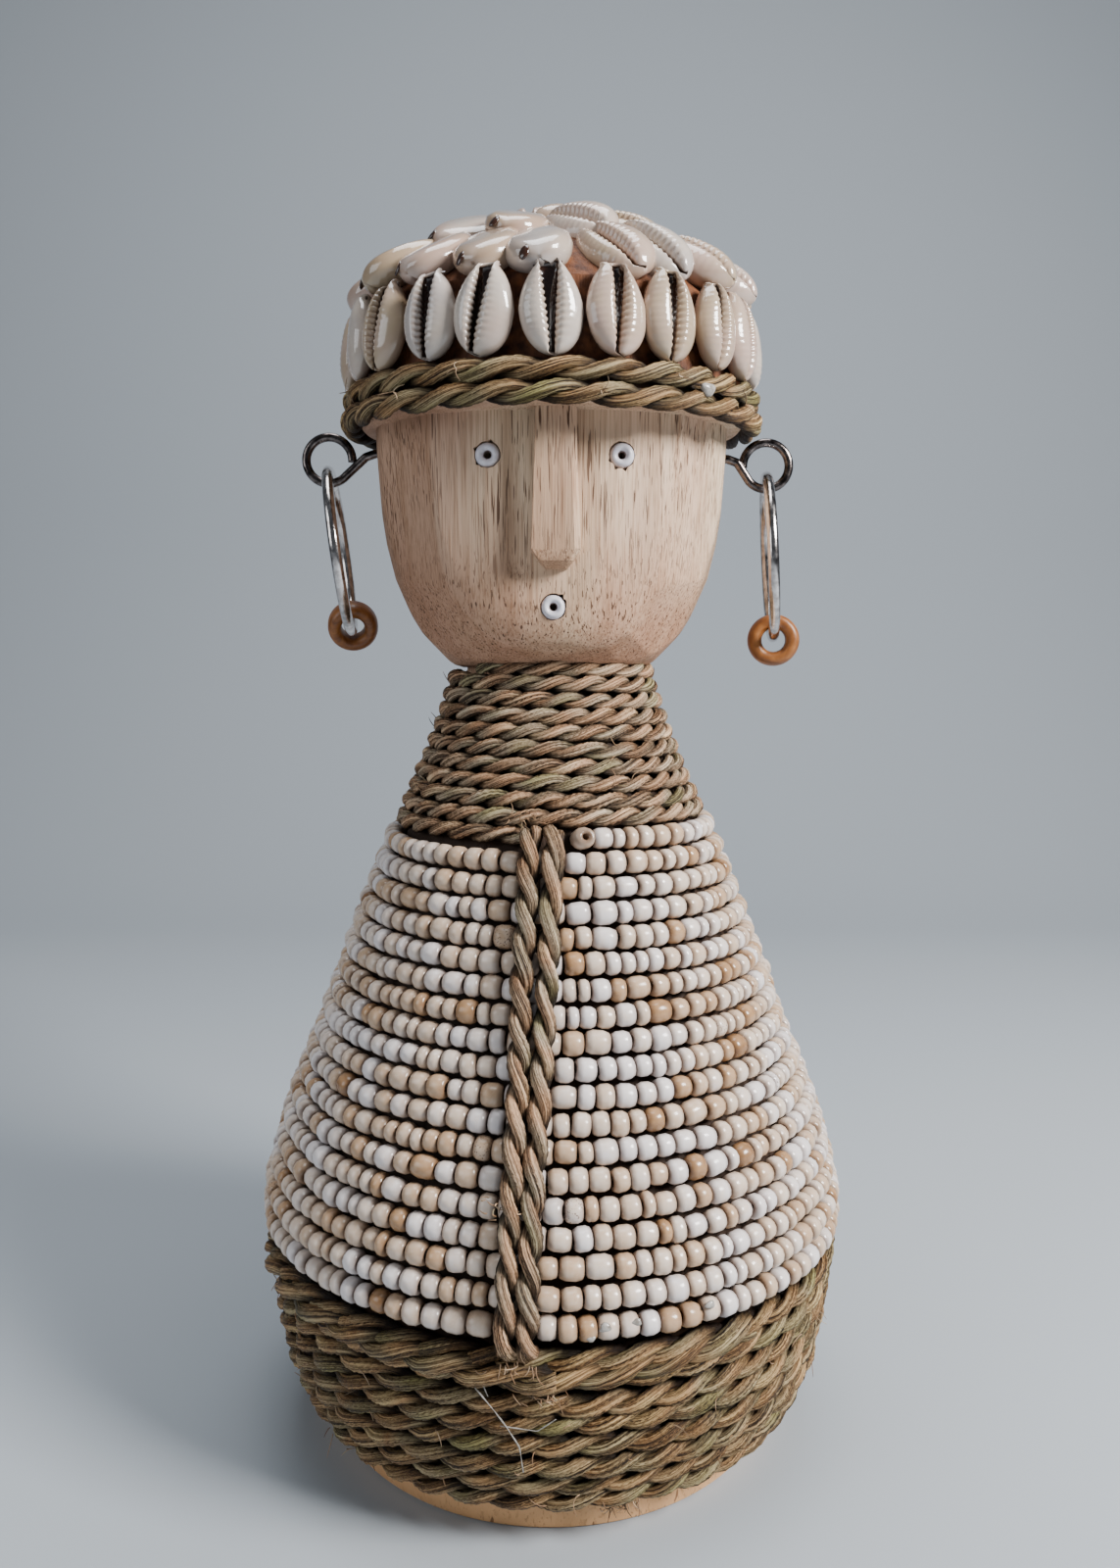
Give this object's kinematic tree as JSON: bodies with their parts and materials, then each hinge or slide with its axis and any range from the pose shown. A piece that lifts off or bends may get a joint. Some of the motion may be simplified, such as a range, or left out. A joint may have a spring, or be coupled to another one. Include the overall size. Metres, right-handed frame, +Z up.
{
  "type": "beaded doll",
  "caption": "Standing carved wooden doll, its round body wound with rope and beads, with a cowrie shell hat, bead eyes and mouth, and hoop earrings.",
  "frame": {"origin": "centre of the flat underside of the foot", "axes": "+Z up the doll, -Y the way the face looks, +X to the right of someone facing it"},
  "size_m": [0.1485, 0.1517, 0.3],
  "materials": {
    "wood": "bare carved wood, dry, with fine grain",
    "seagrass_rope": "twisted grass fibre, dry, brown and olive",
    "body_beads": "opaque glass, glossy, white, cream, tan and brown",
    "face_bead": "opaque glass, glossy, bluish white",
    "cowrie_shell": "natural shell, glossy, ivory to pinkish grey",
    "dark_nickel": "dark plated wire, polished",
    "bright_nickel": "bright plated wire, polished",
    "stained_bead": "turned wood, stained orange brown, satin"
  },
  "bodies": {
    "root": {"base_rope": "seagrass_rope", "bead_string": "body_beads", "crown_cowries_1": "cowrie_shell", "crown_cowries_2": "cowrie_shell", "crown_cowries_3": "cowrie_shell", "earring_bead_left": "stained_bead", "earring_bead_right": "stained_bead", "edge_cowrie_01": "cowrie_shell", "edge_cowrie_02": "cowrie_shell", "edge_cowrie_03": "cowrie_shell", "edge_cowrie_04": "cowrie_shell", "edge_cowrie_05": "cowrie_shell", "edge_cowrie_06": "cowrie_shell", "edge_cowrie_07": "cowrie_shell", "edge_cowrie_08": "cowrie_shell", "edge_cowrie_09": "cowrie_shell", "edge_cowrie_10": "cowrie_shell", "edge_cowrie_11": "cowrie_shell", "edge_cowrie_12": "cowrie_shell", "edge_cowrie_13": "cowrie_shell", "edge_cowrie_14": "cowrie_shell", "edge_cowrie_15": "cowrie_shell", "edge_cowrie_16": "cowrie_shell", "edge_cowrie_17": "cowrie_shell", "edge_cowrie_18": "cowrie_shell", "eye_bead_left": "face_bead", "eye_bead_right": "face_bead", "front_cord_left": "seagrass_rope", "front_cord_right": "seagrass_rope", "hat_rope": "seagrass_rope", "hoop_left": "bright_nickel", "hoop_right": "bright_nickel", "mouth_bead": "face_bead", "neck_rope": "seagrass_rope", "rim_cowrie_01": "cowrie_shell", "rim_cowrie_02": "cowrie_shell", "rim_cowrie_03": "cowrie_shell", "rim_cowrie_04": "cowrie_shell", "rim_cowrie_05": "cowrie_shell", "rim_cowrie_06": "cowrie_shell", "rim_cowrie_07": "cowrie_shell", "rim_cowrie_08": "cowrie_shell", "rim_cowrie_09": "cowrie_shell", "rim_cowrie_10": "cowrie_shell", "rim_cowrie_11": "cowrie_shell", "rim_cowrie_12": "cowrie_shell", "rim_cowrie_13": "cowrie_shell", "rim_cowrie_14": "cowrie_shell", "rim_cowrie_15": "cowrie_shell", "rim_cowrie_16": "cowrie_shell", "rim_cowrie_17": "cowrie_shell", "rim_cowrie_18": "cowrie_shell", "rim_cowrie_19": "cowrie_shell", "rim_cowrie_20": "cowrie_shell", "rim_cowrie_21": "cowrie_shell", "rim_cowrie_22": "cowrie_shell", "screw_eye_left": "dark_nickel", "screw_eye_right": "dark_nickel", "top_cowries": "cowrie_shell", "wooden_figure": "wood"}
  },
  "joints": []
}
